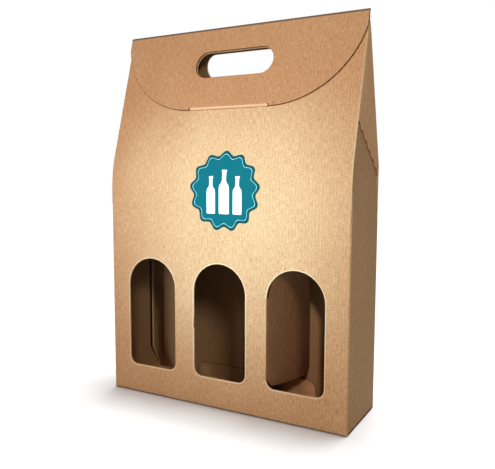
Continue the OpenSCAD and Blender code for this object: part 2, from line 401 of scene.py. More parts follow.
# Noise on the flat sheet, drawn out to real sizes across and along it
def sheetNoise(tree, sheet, acrossMm, alongMm, detail, rough=0.5, seed=0.0):
    scale = (1 / (acrossMm * mm), 1 / (alongMm * mm), 1)
    spot = addNode(tree, "ShaderNodeMapping", {"Vector": sheet, "Location": (seed, seed, 0), "Scale": scale})
    return addNode(tree, "ShaderNodeTexNoise",
                   {"Vector": spot, "Scale": 1.0, "Detail": detail, "Roughness": rough},
                   noise_dimensions="2D")


paperIor = 1.5   # cellulose


# Paper's own surface: little gloss, and a relief given in millimetres
def paperSurface(tree, colour, rough, gloss, height, strength, relief):
    bump = addNode(tree, "ShaderNodeBump", {"Height": height, "Strength": strength, "Distance": relief * mm})
    shader = addNode(tree, "ShaderNodeBsdfPrincipled",
                     {"Base Color": colour, "Roughness": rough, "IOR": paperIor,
                      "Specular IOR Level": gloss, "Normal": bump})
    addNode(tree, "ShaderNodeOutputMaterial", {"Surface": shader})


# What both liners share: how the patterns run, their seeds, the colour ramp's ends and the relief
fibre = {
    "weftRun": 0.7, "cloudRun": 1.6, "warpSeed": 3.1, "weftSeed": 17.7, "fleckSeed": 41.3, "cloudSeed": 7.9,
    "fleckRough": 0.6, "darkAt": 0.12, "lightAt": 0.88, "roughSpread": 0.2, "relief": 0.12,
    "waveUnit": 20.0,          # the wave node's own radians to a unit
}


# Unbleached kraft linerboard: long fibres, flecks, and the linen roll's crossed threads pressed in
def kraftLiner(name, look):
    material, tree = newMaterial(name)
    sheet = addNode(tree, "ShaderNodeUVMap", uv_map="sheet")
    thread, run, spotMm, cloudMm = (look[k] for k in ("thread", "run", "fleck", "cloud"))
    warp = sheetNoise(tree, sheet, thread, run, 1.0, seed=fibre["warpSeed"])
    weft = sheetNoise(tree, sheet, run * fibre["weftRun"], thread, 1.0, seed=fibre["weftSeed"])
    fleck = sheetNoise(tree, sheet, spotMm, spotMm, 2.0, fibre["fleckRough"], fibre["fleckSeed"])
    cloud = sheetNoise(tree, sheet, cloudMm, cloudMm * fibre["cloudRun"], 3.0, seed=fibre["cloudSeed"])
    weft = addNode(tree, "ShaderNodeMath", {0: weft, 1: look["weft"]}, operation="MULTIPLY")
    weave = addNode(tree, "ShaderNodeMath", {0: warp, 1: weft}, operation="ADD")
    ribPlace = addNode(tree, "ShaderNodeMapping", {"Vector": sheet, "Scale": (1 / mm, 0, 1)})
    ribScale = 2 * math.pi / board["flutePitch"] / fibre["waveUnit"]
    rib = addNode(tree, "ShaderNodeTexWave", {"Vector": ribPlace, "Scale": ribScale, "Distortion": 0.0},
                  wave_type="BANDS", bands_direction="X", wave_profile="SIN").outputs["Fac"]
    centre = 0.5 - look["weaveTone"] * (1 + look["weft"]) / 2
    tone = addNode(tree, "ShaderNodeMath", {0: weave, 1: look["weaveTone"], 2: centre},
                   operation="MULTIPLY_ADD")
    for source, share in ((fleck, look["fleckTone"]), (cloud, look["cloudTone"]), (rib, look["ribTone"])):
        moved = addNode(tree, "ShaderNodeMath", {0: source, 1: share, 2: -share / 2},
                        operation="MULTIPLY_ADD")
        tone = addNode(tree, "ShaderNodeMath", {0: tone, 1: moved}, operation="ADD")
    ramp = addNode(tree, "ShaderNodeValToRGB", {"Fac": tone})
    setStops(ramp, [(fibre["darkAt"], hexColour(look["dark"])), (0.5, hexColour(look["base"])),
                    (fibre["lightAt"], hexColour(look["light"]))])
    height = addNode(tree, "ShaderNodeMath", {0: rib, 1: look["ribHeight"], 2: weave},
                     operation="MULTIPLY_ADD")
    spread = fibre["roughSpread"]
    rough = addNode(tree, "ShaderNodeMath", {0: fleck, 1: spread, 2: look["rough"] - spread / 2},
                    operation="MULTIPLY_ADD")
    # The wear attribute mixes in the pale colour towards 1, for wear and painted highlights, and the dark
    # colour towards -1, for painted shade
    wearAndPaintedLight = addNode(tree, "ShaderNodeAttribute", attribute_name="wearAndPaintedLight").outputs["Fac"]
    colour = ramp.outputs["Color"]
    for key, sign in (("rubAndPaintedLight", 1.0), ("paintedShade", -1.0)):
        amount = addNode(tree, "ShaderNodeMath", {0: wearAndPaintedLight, 1: sign}, operation="MULTIPLY", use_clamp=True)
        mixed = addNode(tree, "ShaderNodeMix", {0: amount, 6: colour, 7: hexColour(look[key])},
                        data_type="RGBA")
        colour = mixed.outputs[2]
    paperSurface(tree, colour, rough, look["gloss"], height, look["bump"], fibre["relief"])
    return material


fuzz = {"detail": 3.0, "fine": 0.6, "darkAt": 0.3, "lightAt": 0.7, "rough": 0.9, "gloss": 0.25,
        "bump": 0.5, "relief": 0.08}


# Cut kraft fibres: a fuzzy, uneven tone, drawn coarser than the fibres so that it shows; its dark copies are
# painted shade on cut edges and in the flutes' recess
def cutPaper(name, look):
    material, tree = newMaterial(name)
    solid = addNode(tree, "ShaderNodeTexCoord").outputs["Object"]
    noise = addNode(tree, "ShaderNodeTexNoise",
                    {"Vector": solid, "Scale": 1 / (look["grain"] * mm), "Detail": fuzz["detail"],
                     "Roughness": fuzz["fine"]})
    ramp = addNode(tree, "ShaderNodeValToRGB", {"Fac": noise})
    setStops(ramp, [(fuzz[k + "At"], hexColour(look[k])) for k in ("dark", "light")])
    paperSurface(tree, ramp, fuzz["rough"], fuzz["gloss"], noise, fuzz["bump"], fuzz["relief"])
    return material


# On the outer liner the pale colour paints the highlights on the front's lip and the tongue's bend, and the
# dark colour paints the shade along the ridge fold
linenKraft = {
    "base": "#D2A274", "dark": "#B07E4E", "light": "#EBC698", "rubAndPaintedLight": "#FFE0AE", "paintedShade": "#5E5348",
    "thread": 0.9, "run": 6.5, "fleck": 0.9, "cloud": 45.0,   # mm, coarse enough to show
    "weft": 0.75, "weaveTone": 0.5, "fleckTone": 0.75, "cloudTone": 0.2, "ribTone": 0.06,
    "ribHeight": 0.4, "bump": 0.3, "rough": 0.78, "gloss": 0.3,
}
# Plain inner liner, a different paper whose darker tone also paints the shade inside the box. Its pale colour
# is for the tuck's rubbed corners and the painted highlight on the glue tab's edge, its near-black one paints
# the shadow behind the glue tab
plainKraft = {
    "base": "#AC845E", "dark": "#8C6744", "light": "#C29A73", "rubAndPaintedLight": "#D0AA80", "paintedShade": "#1E140C",
    "thread": 1.2, "run": 14.0, "fleck": 0.9, "cloud": 35.0,
    "weft": 0.5, "weaveTone": 0.25, "fleckTone": 0.5, "cloudTone": 0.3, "ribTone": 0.12,
    "ribHeight": 1.0, "bump": 0.3, "rough": 0.85, "gloss": 0.25,
}
kraftFace = kraftLiner("linenEmbossedKraft", linenKraft)
kraftInside = kraftLiner("plainKraftLiner", plainKraft)
cutRim = cutPaper("dieCutKraftFibre", {"dark": "#E2B988", "light": "#FBDDB0", "grain": 0.6})
# Painted shade: dark cut edges for the closure flap, dividers and bottom panel, standing for their edges in
# shadow
paintedShadeRim = cutPaper("paintedShadeCutKraft", {"dark": "#4E3119", "light": "#6E4828", "grain": 0.6})
# Painted shade: the flutes' recessed bed is darkened for the shade in the recess
paintedShadeFluteBed = cutPaper("paintedShadeFluteBedKraft", {"dark": "#8A633C", "light": "#B78C5E", "grain": 0.9})
boardFinishes = [kraftFace, kraftInside, cutRim, paintedShadeFluteBed]
# Finishes whose cut edges carry the painted shade
paintedShadeRimFinishes = [kraftFace, kraftInside, paintedShadeRim, paintedShadeFluteBed]
print("board finishes made")

windows = {
    "width": 58.0, "sillZ": 30.5, "topZ": 144.5, "cornerR": 8.5,
    "rim": 1.1,                # fibres torn up round the cut
    "nick": ((0, 89), (0.6, 87), (0.3, 84), (0.8, 81), (0, 77)),   # depth and height of a tear at one jamb
}
windowR = windows["width"] / 2
windowPitch = hingeX + windowR
springZ = windows["topZ"] - windowR
jambLow = windows["sillZ"] + windows["cornerR"]


# Arched window outline around x, drawn inwards by inset
def windowLoop(x, inset=0.0):
    r, c = windowR - inset, windows["cornerR"]
    low = windows["sillZ"] + inset
    return (arcPoints(x, springZ, r, 0, 180) + arcPoints(x - r + c, low + c, c, 180, 270, arcStep["corner"])
            + arcPoints(x + r - c, low + c, c, 270, 360, arcStep["corner"]))


handle = {"width": 86.0, "height": 27.0, "drop": 37.4}


# Full-round handle hole around a sheet height
def handleLoop(v):
    r = handle["height"] / 2
    run = handle["width"] / 2 - r
    return arcPoints(run, v, r, -90, 90) + arcPoints(-run, v, r, 90, 270)


flap = {
    "reach": 84.0, "shoulder": 88.0, "side": 13.0,
    "tongueL": 1.9, "tongueBend": 75.0, "tongueTurnR": 1.8, "tongueIn": 0.5, "tongueTip": 1.0,
    "tongueRows": 5, "tongueStep": 1.5, "tongueEdge": 1.0, "aboveBend": 0.6,
    "slotGap": 0.8, "slotIn": 0.2, "foldGap": 0.3, "creaseR": 0.03,
    "rubAndHighlight": 0.85, "shade": 0.85, "shadePast": 0.6, "shadeFade": 0.9,   # painted highlight on the tongue's bend, painted shade along the ridge fold
}
tongueHalf = halfW - flap["shoulder"]
tongueS = flap["reach"] - flap["tongueL"]

side = {
    "creaseZ": 190.0, "creaseL": 0.5, "lean": 2.7, "leanTo": 228.0, "topZ": 300.0, "tuckGap": 0.6,
    "rollR": 2.0, "dustZ": 1.85, "dustInner": 77.0, "dustCut": 7.0, "dustGap": 0.5, "dustSlit": 0.8,
    "lipW": 2.6, "lipTurn": 40.0, "lipFrom": 4.0, "lipRun": 14.0,   # the front's free edge opens over lipRun
    "lipFine": (6.0, 2.0),     # start below the crease and step of its closer points
    "slitW": 0.45, "slitEnd": 1.0, "notchW": 0.9, "notchL": 2.0, "edgeGap": 0.3, "footGap": 0.3,
    "joinIn": 6.0, "joinGap": 0.4, "backFoot": 0.2,
}
sideStart = flatHalf + cornerL
sideEnd = sideStart + sideFlat
backStart = sideEnd + cornerL
rollZ = side["dustZ"] + side["rollR"]
rollL = side["rollR"] * quarter
bottomRollR = 2.0


# Bends a sheet round an upright corner: distance from the middle, and depth behind the wall's face
def turnCorner(around, start, most, h):
    past = np.maximum(around - start, 0)
    theta = np.minimum(past / cornerR, most)
    rest = past - theta * cornerR
    x = np.minimum(around, start) + cornerR * np.sin(theta) + rest * np.cos(theta) - h * np.sin(theta)
    return x, cornerR * (1 - np.cos(theta)) + rest * np.sin(theta) + h * np.cos(theta)


# Where the wrapped sheet of sides and front lies; u runs round the box from the front's middle
def placeWrap(u, v, h):
    around = np.abs(u)
    isSide = around > flatHalf + side["lipW"] + side["slitW"] - near / 2
    upper = np.clip((v - side["creaseZ"] + side["lipFrom"]) / side["lipRun"], 0, 1)
    most = np.where(isSide, quarter, quarter + (math.radians(side["lipTurn"]) - quarter) * upper)
    x, depth = turnCorner(around, flatHalf, most, h)
    out, z = wallPoint(v, depth, frontBend)
    y = -out
    # the flat of the side: rolls in at the bottom, leans in above its crease and stands against the wing
    lean = math.radians(side["lean"])
    leanL = side["leanTo"] - side["creaseZ"]
    upX, upZ, upTurn = foldedLine(v, (halfW, 0), quarter,
                                  [(side["creaseZ"], 0), (side["creaseL"], lean), (leanL, 0),
                                   (side["creaseL"], -lean), (1, 0)])
    downX, downZ, downTurn = foldedLine(rollZ - v, (halfW, rollZ), -quarter,
                                        [(tiny, 0), (rollL, -quarter), (1, 0)])
    rolled = (v < rollZ) & (around < sideEnd - side["dustGap"] + near)
    flatX = np.where(rolled, downX + h * np.sin(downTurn), upX - h * np.sin(upTurn))
    flatZ = np.where(rolled, downZ - h * np.cos(downTurn), upZ + h * np.cos(upTurn))
    onSide = around > sideStart
    x = np.where(onSide, flatX, x)
    z = np.where(onSide, flatZ, z)
    y = np.where(onSide, -halfD + cornerR + (around - sideStart), y)
    # back corner and the first strip of the back
    onBack = u > sideEnd
    theta = np.clip((around - sideEnd) / cornerR, 0, quarter)
    rest = np.maximum(around - backStart, 0)
    x = np.where(onBack, halfW - cornerR + (cornerR - h) * np.cos(theta) - rest, x)
    y = np.where(onBack, halfD - cornerR + (cornerR - h) * np.sin(theta), y)
    z = np.where(onBack, v, z)
    return np.stack([np.sign(u) * x, y, z], 1)


# Depth, at a height, of a plane that lies out from the front slope's middle
def frontY(z, out):
    return math.tan(slope) * (z - ridgeZ) - out / cosS


# Outline of one half of the wrapped sheet, from the front's bottom edge round to its top edge
def wrapHalf(right):
    crease, cut, foot, slitEnd = (side[k] for k in ("creaseZ", "dustCut", "footGap", "slitEnd"))
    dustEnd = rollZ - rollL - (halfW - side["rollR"] - side["dustInner"])
    dustStart, dustStop = sideStart + side["dustGap"], sideEnd - side["dustGap"]
    slitZ = rollZ - side["dustSlit"]
    lipEnd = flatHalf + side["lipW"]
    edge = -halfD + cornerR
    innerOut = frontOut - thick - side["tuckGap"]
    bendEndZ = frontBend["start"] + frontBend["r"] * sinS
    topQ = frontY(side["topZ"], innerOut) - edge
    bendQ = frontY(bendEndZ, innerOut) - edge
    points = [(flatHalf, bottomRollR), (flatHalf + near, foot), (sideStart - near, foot), (dustStart, slitZ),
              (dustStart, dustEnd + cut), (sideStart + cut, dustEnd), (sideEnd - cut, dustEnd),
              (dustStop, dustEnd + cut), (dustStop, slitZ)]
    if right:
        joinU = backStart + side["joinIn"]
        points += [(sideEnd + side["joinGap"], side["backFoot"]), (joinU, side["backFoot"]),
                   (joinU, crease), (sideEnd + cornerL / 2, crease)]
    else:
        slitU, edgeU = sideEnd - side["edgeGap"], sideEnd + cornerR - side["edgeGap"]
        points += [(slitU, slitZ - near), (slitU, foot), (edgeU, foot), (edgeU, crease - slitEnd)]
    points += [(sideEnd + side["notchW"], crease - side["notchL"]), (sideEnd + near, crease),
               (sideEnd + near, backBend["start"]), (sideStart + topQ, side["topZ"]),
               (sideStart + bendQ, bendEndZ), (sideStart - near, frontBend["start"]),
               (sideStart - near, crease + slitEnd), (lipEnd + side["slitW"], crease - slitEnd),
               (lipEnd, crease + slitEnd), (lipEnd, sheetHeight(frontBend, gable["frontTopS"]))]
    return points


# Slot in the front slope that takes the flap's tongue
def slotLoop():
    half = tongueHalf - flap["slotIn"]
    low = sheetHeight(frontBend, flap["reach"] + flap["foldGap"])
    high = sheetHeight(frontBend, tongueS - flap["slotGap"])
    return [(-half, low), (half, low), (half, high), (-half, high)]


# The wrapped sheet runs on into the dividers, the bottom panel and the back
def wrapFolds(u, v):
    onJamb = abs(abs(u) - hingeX) < near and jambLow < v < springZ
    onBottom = abs(v - bottomRollR) < near and abs(u) < flatHalf
    toBack = u > sideEnd + cornerL / 2 + near and v > side["backFoot"] + near
    return onJamb or onBottom or toBack


cornerColumns = np.concatenate([s * np.linspace(start, start + cornerL, board["cornerPoints"])
                                for s in (1, -1) for start in (flatHalf, sideEnd)])
bendRows = np.linspace(frontBend["start"], frontBend["end"], gable["frontBendRows"])
rollRows = np.linspace(rollZ - rollL, rollZ, board["rollPoints"])
middleLoop = windowLoop(0)
nick = [(-windowR - d, z) for d, z in windows["nick"]]
tear = next(i for i, (x, z) in enumerate(middleLoop) if x < 0 and z < nick[-1][1])
wrapLoops = [wrapHalf(True) + mirror(wrapHalf(False)),
             windowLoop(-windowPitch), middleLoop[:tear] + nick + middleLoop[tear:], windowLoop(windowPitch),
             slotLoop(), handleLoop(sheetHeight(frontBend, handle["drop"]))]
wrapRims = [board["bevel"]] + [windows["rim"]] * 3 + [board["bevel"]] * 2

# Painted highlight: the front's free edges above the side's crease are painted pale
lipHighlight = {"from": 1.1, "past": 0.3, "level": 0.6, "above": 2.0, "fade": 40.0}


def lipPaintedHighlight(u, v):
    onward = np.abs(u) - flatHalf
    onLip = (onward > lipHighlight["from"]) & (onward < side["lipW"] + lipHighlight["past"])
    return onLip * lipHighlight["level"] * np.clip((v - side["creaseZ"] - lipHighlight["above"]) / lipHighlight["fade"], 0, 1)


# Glue tab inside the left wall: it stands a little off the wall, which has a painted shadow behind it
glue = {
    "width": 18.0, "lowZ": 6.0, "slant": 24.0, "footZ": 3.0, "turn": 100.0,
    "shade": 0.6, "shadeFrom": 0.5, "shadeBefore": 3.0, "shadePast": 2.0,   # painted shadow on the wall and its closer points
    "shadeColumns": 9, "shadeRowStep": 4.0, "slantStepU": 1.2, "slantStepV": 1.5,
    "rubAndHighlight": 1.0, "highlightColumns": (0.9, 1.8), "highlightRows": (12.0, 180.0, 3.0),   # painted highlight along the tab's free edge
}
tabRun = glue["width"] - cornerR
tabCos = math.cos(math.radians(glue["turn"] - 90))
tabLow, tabHigh = glue["lowZ"] + glue["slant"], side["creaseZ"] - glue["lowZ"] - glue["slant"]


# How far the tab reaches from its fold at a sheet height
def tabReach(v):
    low, high = v - glue["lowZ"], side["creaseZ"] - glue["lowZ"] - v
    return tabRun * np.clip(np.minimum(low, high) / glue["slant"], 0, 1)


# Painted shadow on the left wall's inner face, in the gap behind the glue tab's free edge
def wallPaintedShadow(u, v):
    fromBack = sideEnd + u
    behindTab = np.clip((tabReach(v) * tabCos + glue["shade"] - fromBack) / glue["shade"], 0, 1)
    return -behindTab * ((u < 0) & (v > glue["lowZ"]) & (v < side["creaseZ"] - glue["lowZ"]))


lipLow, lipStep = side["lipFine"]
lipRows = np.arange(side["creaseZ"] - lipLow, sheetHeight(frontBend, gable["frontTopS"]), lipStep)
lipColumns = np.linspace(flatHalf, sideStart, board["cornerPoints"])
shadeEnd = tabRun + glue["shadePast"]
wrapFine = [(-lipColumns, lipRows), (lipColumns, lipRows),
            (np.linspace(tabRun - glue["shadeBefore"], shadeEnd, glue["shadeColumns"]) - sideEnd,
             np.arange(tabLow, tabHigh, glue["shadeRowStep"])),
            (np.arange(glue["shadeFrom"], shadeEnd, glue["slantStepU"]) - sideEnd,
             np.arange(glue["lowZ"] - glue["shadePast"], tabLow + glue["shadePast"], glue["slantStepV"]))]
wrapSheet = boardPiece("cartonWrap", wrapLoops, placeWrap, boardFinishes, wrapFolds,
                       extraU=cornerColumns, extraV=np.concatenate([bendRows, rollRows, [side["creaseZ"]]]),
                       rimWidths=wrapRims, wearAndPaintedLight=lipPaintedHighlight, innerWearAndPaintedLight=wallPaintedShadow, fine=wrapFine)

wing = {
    "frontZ": 277.0, "backZ": 229.5, "drop": 9.0, "waveL": 13.0, "waveDepth": 1.2, "wavePoints": 8,
    "gap": 0.4, "slit": 0.5, "topRise": 2.0,
}
tabFlat = halfW - thick - cornerR    # the back stops short here, where its glue tab turns in
tabTurned = tabFlat + cornerL
tabEnd = tabTurned + tabRun
backEdge = -(flatHalf - side["joinIn"])
backTop = sheetHeight(backBend, gable["backJoinS"])


# Where the back sheet lies, with its wings and glue tab; p runs to the left wall
def placeBack(p, v, h):
    start = np.where((p > 0) & (v < side["creaseZ"] - side["slitEnd"]), tabFlat, flatHalf)
    most = np.where(start < flatHalf, math.radians(glue["turn"]), quarter)
    x, depth = turnCorner(np.abs(p), start, most, h)
    out, z = wallPoint(v, depth, backBend)
    return np.stack([-np.sign(p) * x, out, z], 1)


# Half of the back sheet's outline above the sides' crease: free edge, then the wing up to the ridge
def wingHalf():
    low, topZ = [], ridgeZ - wing["drop"]
    edgeOut = frontOut - thick - wing["gap"]
    a = (halfD - thick / 2, wing["backZ"])
    b = (frontY(wing["frontZ"], edgeOut), wing["frontZ"])
    length = math.dist(a, b)
    waves = round(length / wing["waveL"])
    across = (-(b[1] - a[1]) / length, (b[0] - a[0]) / length)
    steps = waves * wing["wavePoints"]
    for i in range(steps + 1):
        part = i / steps
        swing = wing["waveDepth"] * math.sin(2 * math.pi * waves * part)
        y, z = (a[k] + (b[k] - a[k]) * part + across[k] * swing for k in (0, 1))
        low.append(backSheetPoint(y, z))
    upper = [backSheetPoint(frontY(topZ, edgeOut), topZ), backSheetPoint(-frontY(topZ, 0), topZ)]
    base, free = sideStart - cornerR, flatHalf + cornerL / 2
    outline = [(free, side["creaseZ"]), (free, wing["backZ"] - wing["slit"])]
    outline += [(max(base + n, free), v) for n, v in low + upper]
    return outline + [(flatHalf, upper[1][1] + wing["topRise"]), (flatHalf, backTop)]


def backOutline():
    top, tabTop = side["creaseZ"], side["creaseZ"] - glue["lowZ"]
    tabTurn = tabFlat + cornerL / 2
    lower = [(backEdge, side["backFoot"]), (tabTurn, side["backFoot"]), (tabTurned, glue["footZ"]),
             (tabTurned, glue["lowZ"]), (tabEnd, tabLow), (tabEnd, top - glue["slant"]),
             (tabTurned, tabTop), (tabTurn, tabTop), (tabTurn, top - side["slitEnd"])]
    half = wingHalf()
    return lower + half + mirror(half) + [(backEdge, top)]


# The back runs on into the right side and the closure flap
def backFolds(p, v):
    toSide = p < backEdge + near and side["backFoot"] + near < v < side["creaseZ"] + near
    return toSide or v > backTop - near


tabColumns = np.linspace(tabFlat, tabTurned, board["cornerPoints"])
backLoops = [backOutline(), handleLoop(sheetHeight(backBend, handle["drop"]))]
# Painted highlight: the glue tab's inner face is painted pale along its free edge
backSheet = boardPiece("cartonBack", backLoops, placeBack, boardFinishes, backFolds,
                       extraU=np.concatenate([tabColumns, lipColumns, -lipColumns]),
                       extraV=np.linspace(backBend["start"], backBend["end"], gable["backBendRows"]),
                       innerWearAndPaintedLight=lambda p, v: (p > tabEnd - glue["rubAndHighlight"]) & (v < side["creaseZ"]),
                       fine=[(tabEnd - np.array(glue["highlightColumns"]), np.arange(*glue["highlightRows"]))])

flapDrop = flap["reach"] - flap["side"]
flapArcR = (flap["shoulder"] ** 2 + flapDrop ** 2) / (2 * flapDrop)
ridgeR = thick / 2 + gable["ridgeBead"]
ridgeTurn = math.pi - 2 * slope
ridgeL = ridgeR * ridgeTurn
flapJoin = ridgeL + gable["backJoinS"]
tongueTurn = math.radians(flap["tongueBend"])
tongueArc = flap["tongueTurnR"] * tongueTurn


# Where the closure flap lies: v is minus the distance down from the ridge, positive over the back
def placeFlap(x, v, h):
    s = -np.asarray(v, float)
    front = s >= 0
    back = s < -ridgeL
    along = np.where(front, s, np.where(back, -ridgeL - s, 0))
    swell = gable["ridgeBead"] * np.exp(-(along / gable["ridgeSpread"]) ** 2)
    down, out, turned = foldedLine(along, (0, thick / 2), 0, [(tongueS, 0), (tongueArc, -tongueTurn), (1, 0)])
    onTongue = front & (np.abs(x) < tongueHalf - near)
    down = np.where(onTongue, down + h * np.sin(turned), along)
    out = np.where(onTongue, out + swell - h * np.cos(turned), thick / 2 + swell - h)
    faceY = np.minimum(-down * sinS - out * cosS, -flap["creaseR"])
    faceZ = ridgeZ - down * cosS + out * sinS
    angle = np.pi - slope - np.clip(-s / ridgeR, 0, ridgeTurn)
    r = np.maximum(ridgeR - h, flap["creaseR"])
    y = np.where(front, faceY, np.where(back, -faceY, r * np.cos(angle)))
    z = np.where(front | back, faceZ, ridgeZ + r * np.sin(angle))
    return np.stack([np.asarray(x, float), y, z], 1)


def flapOutline():
    arcEnd = math.degrees(math.asin(flap["shoulder"] / flapArcR))
    arc = arcPoints(tongueHalf, flapArcR - flap["reach"], flapArcR, -90, -90 + arcEnd, arcStep["flap"])
    tip, tongueX = tongueS + tongueArc + flap["tongueTip"], tongueHalf - flap["tongueIn"]
    half = [(tongueX, -tip), (tongueX, -tongueS), (tongueHalf, -tongueS)] + arc
    half += [(halfW, 0), (halfW, ridgeL), (flatHalf, flapJoin)]
    return half + mirror(half)


ridgeRows = np.concatenate([np.linspace(0, ridgeL, gable["ridgeRows"]), -np.linspace(*gable["frontRows"]),
                            ridgeL + np.linspace(*gable["backRows"])])
tongueRows = -np.append(tongueS - flap["aboveBend"],
                        np.linspace(tongueS, tongueS + tongueArc, flap["tongueRows"]))
tongueColumns = np.arange(flap["tongueStep"] - tongueHalf, tongueHalf - flap["tongueEdge"],
                          flap["tongueStep"])


# Painted highlight: the tongue's bend is painted pale; painted shade: the ridge fold is painted dark
def flapPaintedLight(x, v):
    bend = (v < -tongueS + near) & (v > tongueRows[-1] - near) & (np.abs(x) < tongueHalf)
    past = np.abs(v - ridgeL / 2) - ridgeL / 2
    fold = np.clip(1 - (past - flap["shadePast"]) / flap["shadeFade"], 0, 1)
    return bend * flap["rubAndHighlight"] - flap["shade"] * fold


closureFlap = boardPiece("closureFlap", [flapOutline(), handleLoop(-handle["drop"])], placeFlap, paintedShadeRimFinishes,
                         lambda x, v: v > flapJoin - near, extraV=ridgeRows, wearAndPaintedLight=flapPaintedLight,
                         fine=[(tongueColumns, tongueRows)])

cutOut = {"gap": 0.4, "past": 1.0, "rowStep": 1.5}


# A window's cut-out, swung in on its inner edge; u is the distance from the fold
def dividerPlace(sign, swing):
    def place(u, v, h):
        d = np.asarray(u, float) * sign
        phi = swing * np.clip(1 + d / (thick * swing), 0, 1)
        flat = np.maximum(d, 0)
        x = hingeX + (thick - h) * np.sin(phi) + flat * np.cos(phi)
        y = hingeY - (thick - h) * np.cos(phi) + flat * np.sin(phi)
        return np.stack([sign * x, y, np.asarray(v, float)], 1)
    return place


def divider(name, sign):
    joint = joints["right_divider_fold" if sign > 0 else "left_divider_fold"]
    swing = math.radians(-joint["range_deg"][0])
    fold = -thick * swing
    low, high = jambLow - cutOut["past"], springZ + cutOut["past"]
    loop = [(x - hingeX, z) for x, z in windowLoop(windowPitch, cutOut["gap"])]
    loop = [(fold if d < cutOut["gap"] + near and low < z < high else d, z) for d, z in loop]
    columns = sign * np.linspace(fold, 0, board["rollPoints"])
    return boardPiece(name, [[(sign * d, z) for d, z in loop]], dividerPlace(sign, swing), paintedShadeRimFinishes,
                      lambda u, v: abs(u * sign - fold) < near,
                      fine=[(columns, np.arange(jambLow, springZ, cutOut["rowStep"]))]), swing


leftDivider, leftSwing = divider("dividerLeft", -1)
rightDivider, rightSwing = divider("dividerRight", 1)

bottom = {
    "tuckH": 18.0, "tuckW": 144.0, "tuckR": 9.0, "lean": 6.6, "turnR": 2.0, "swingGap": 0.5, "sideGap": 0.4,
    "chamfer": 1.0, "cornerL": 3.2, "rollColumns": (-130.5, 131.0, 1.5),
    "rubAndHighlight": 7.0, "rubLevel": 0.7, "rubSpan": 26.0, "rubStep": 2.0,   # the tuck's corners
}
bottomFlat = 2 * halfD - thick - bottom["swingGap"] - bottomRollR - bottom["turnR"]
bottomTurn = math.radians(90 + bottom["lean"])
bottomRollL, tuckTurnL = bottomRollR * quarter, bottom["turnR"] * bottomTurn
bottomPanelL = bottomRollL + bottomFlat
tuckHalf = bottom["tuckW"] / 2


# Where the bottom panel lies: it rolls in under the front and turns up inside the back
def placeBottom(x, v, h):
    y, z, turned = foldedLine(np.maximum(-np.asarray(v, float), 0), (-halfD, bottomRollR), -quarter,
                              [(bottomRollL, quarter), (bottomFlat, 0), (tuckTurnL, bottomTurn), (1, 0)])
    return np.stack([np.asarray(x, float), y - h * np.sin(turned), z + h * np.cos(turned)], 1)


def bottomOutline():
    tip = bottomPanelL + tuckTurnL + bottom["tuckH"] - bottom["turnR"]
    wide, r, chamfer = halfW - bottom["sideGap"], bottom["tuckR"], bottom["chamfer"]
    half = arcPoints(tuckHalf - r, -(tip - r), r, -90, 0, arcStep["corner"])
    half += [(tuckHalf, -bottomPanelL), (wide - chamfer, -bottomPanelL), (wide, -bottomPanelL + chamfer),
             (wide, -bottom["cornerL"]), (flatHalf, -near), (flatHalf, 0)]
    return half + mirror(half)


tuckEnd = bottomOutline()[0][1]


# The tuck's round corners are rubbed where fingers push it in
def tuckRub(x, v):
    across = (np.abs(x) - tuckHalf + bottom["tuckR"]) / bottom["rubAndHighlight"]
    along = (v - tuckEnd - bottom["tuckR"]) / bottom["rubAndHighlight"]
    return bottom["rubLevel"] * np.exp(-across ** 2 - along ** 2)


bottomRows = -np.concatenate([np.linspace(0, bottomRollL, board["rollPoints"]),
                              bottomPanelL + np.linspace(0, tuckTurnL, board["rollPoints"])])
tuckColumns = np.arange(tuckHalf - bottom["rubSpan"], tuckHalf, bottom["rubStep"])
tuckRows = np.arange(tuckEnd, tuckEnd + bottom["tuckH"], bottom["rubStep"])
bottomPanel = boardPiece("bottomPanel", [bottomOutline()], placeBottom, paintedShadeRimFinishes,
                         lambda x, v: v > -near / 2, innerWearAndPaintedLight=tuckRub,
                         fine=[(np.arange(*bottom["rollColumns"]), bottomRows),
                               (-tuckColumns, tuckRows), (tuckColumns, tuckRows)])

# Paper seal on the front, with its print
seal = {
    "diameter": 77.0, "lobes": 13, "lobePoints": 16, "depth": 4.4, "x": 6.0, "z": 215.0,
    "thick": 0.25, "lift": 0.02, "lineIn": 2.9, "lineW": 0.8, "print": 0.04, "gridStep": 5.0,
    "teal": "#025E64", "rim": "#034745", "line": "#92DCE2", "white": "#F4F6F2",
    "bottles": ((-14.5, 36.0), (0.0, 42.0), (14.5, 36.0)), "bottleFoot": -22.0,   # place and height of each
}
bottle = {
    "half": 0.135, "shoulder": 0.62, "neckFrom": 0.1, "neckTo": 0.15,    # shares of its height
    "taper": 0.92, "neck": 0.4, "flare": 1.25,                           # shares of its half and its neck
    "foot": 0.8, "bend": 2.0, "bendTop": 1.0, "ring": 2.0, "ringLow": 2.2,
}
ink = {"mottle": 1.4, "detail": 3.0, "dark": 0.92, "light": 1.06, "rough": 0.65, "gloss": 0.1,
       "bump": 0.15, "relief": 0.05}


# Where paper that lies on the front is, with its outer face lifted off the board
def sealPlace(lift):
    def place(x, v, h):
        out, z = wallPoint(np.asarray(v, float), np.asarray(h, float) - lift, frontBend)
        return np.stack([np.asarray(x, float), -out, z], 1)
    return place


def lobedLoop(inset):
    points = []
    count = seal["lobes"] * seal["lobePoints"]
    for i in range(count):
        a = 2 * math.pi * i / count
        r = seal["diameter"] / 2 - inset - seal["depth"] / 2 * (1 - math.cos(seal["lobes"] * a))
        points.append((seal["x"] + r * math.sin(a), seal["z"] + r * math.cos(a)))
    return points


